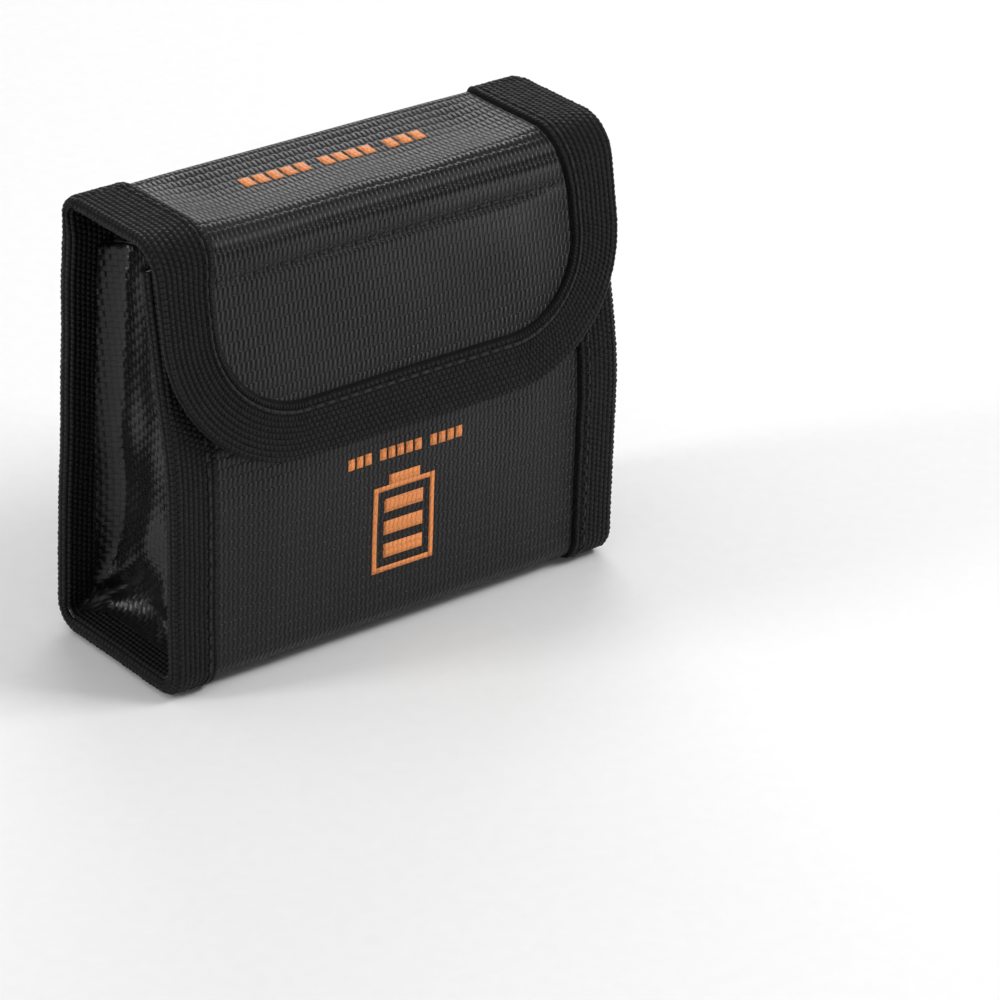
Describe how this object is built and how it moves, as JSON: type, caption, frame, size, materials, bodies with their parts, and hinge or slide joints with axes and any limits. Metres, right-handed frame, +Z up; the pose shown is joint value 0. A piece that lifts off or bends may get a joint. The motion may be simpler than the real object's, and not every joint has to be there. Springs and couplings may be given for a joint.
{
  "type": "lipo safe bag",
  "caption": "Small black fire-resistant soft case with fold-over lid, touch-fastened flap, inner wings and a divider, for drone batteries.",
  "frame": {"origin": "middle of the underside, halfway between the front of the flap and the back", "axes": "+Z up, -Y towards the flap's face, +X along the width to the right of someone facing the flap"},
  "size_m": [0.11, 0.0466, 0.0953],
  "materials": {
    "ribbed_cloth": "coated glass cloth with fine upright ribs, satin",
    "gusset_cloth": "coated cloth with a small square grid, glossy",
    "webbing": "coarse woven tape, matte",
    "silver_lining": "basket-weave glass cloth with a silver-white sheen",
    "divider_cloth": "grey woven cloth, matte",
    "fastener_loop": "fuzzy loop pile, matte",
    "fastener_hook": "rows of fine plastic hooks, matte",
    "print_ink": "thin orange screen print on the cloth, matte",
    "thread": "twisted sewing thread, satin"
  },
  "bodies": {
    "bag": {"outer_wrap": "ribbed_cloth", "wrap_lining": "silver_lining", "mouth_hem": "ribbed_cloth", "loop_strip": "fastener_loop", "loop_strip_stitches": "thread", "divider": "divider_cloth", "divider_hem": "divider_cloth", "left_gusset": "gusset_cloth", "left_gusset_lining": "silver_lining", "left_seam_binding": "webbing", "left_seam_stitches": "thread", "right_gusset": "gusset_cloth", "right_gusset_lining": "silver_lining", "right_seam_binding": "webbing", "right_seam_stitches": "thread", "front_print": "print_ink"},
    "lid": {"lid_panel": "ribbed_cloth", "lid_lining": "silver_lining", "left_lid_binding": "webbing", "right_lid_binding": "webbing", "left_lid_stitches": "thread", "right_lid_stitches": "thread", "lid_print": "print_ink"},
    "flap": {"flap_panel": "ribbed_cloth", "flap_lining": "silver_lining", "flap_binding": "webbing", "hook_strip": "fastener_hook", "hook_strip_stitches": "thread", "flap_edge_stitches": "thread"},
    "left_wing": {"left_wing_panel": "gusset_cloth", "left_wing_lining": "silver_lining", "left_wing_hem": "gusset_cloth"},
    "right_wing": {"right_wing_panel": "gusset_cloth", "right_wing_lining": "silver_lining", "right_wing_hem": "gusset_cloth"}
  },
  "joints": [
    {"name": "lid_fold", "type": "hinge", "parent": "bag", "child": "lid", "pos_m": [0, 0.01785, 0.0934], "axis": [-1, 0, 0], "range_deg": [0, 180]},
    {"name": "flap_fold", "type": "hinge", "parent": "lid", "child": "flap", "pos_m": [0, -0.01281, 0.0934], "axis": [-1, 0, 0], "range_deg": [0, 100]},
    {"name": "left_wing_fold", "type": "hinge", "parent": "bag", "child": "left_wing", "pos_m": [-0.0428, 0.0046, 0.0846], "axis": [0, -1, 0], "range_deg": [0, 90]},
    {"name": "right_wing_fold", "type": "hinge", "parent": "bag", "child": "right_wing", "pos_m": [0.0428, 0.0046, 0.0846], "axis": [0, 1, 0], "range_deg": [0, 90]}
  ],
  "couplings": [
    {"joint": "left_wing_fold", "follows": "lid_fold", "ratio": 0.5},
    {"joint": "right_wing_fold", "follows": "lid_fold", "ratio": 0.5}
  ]
}
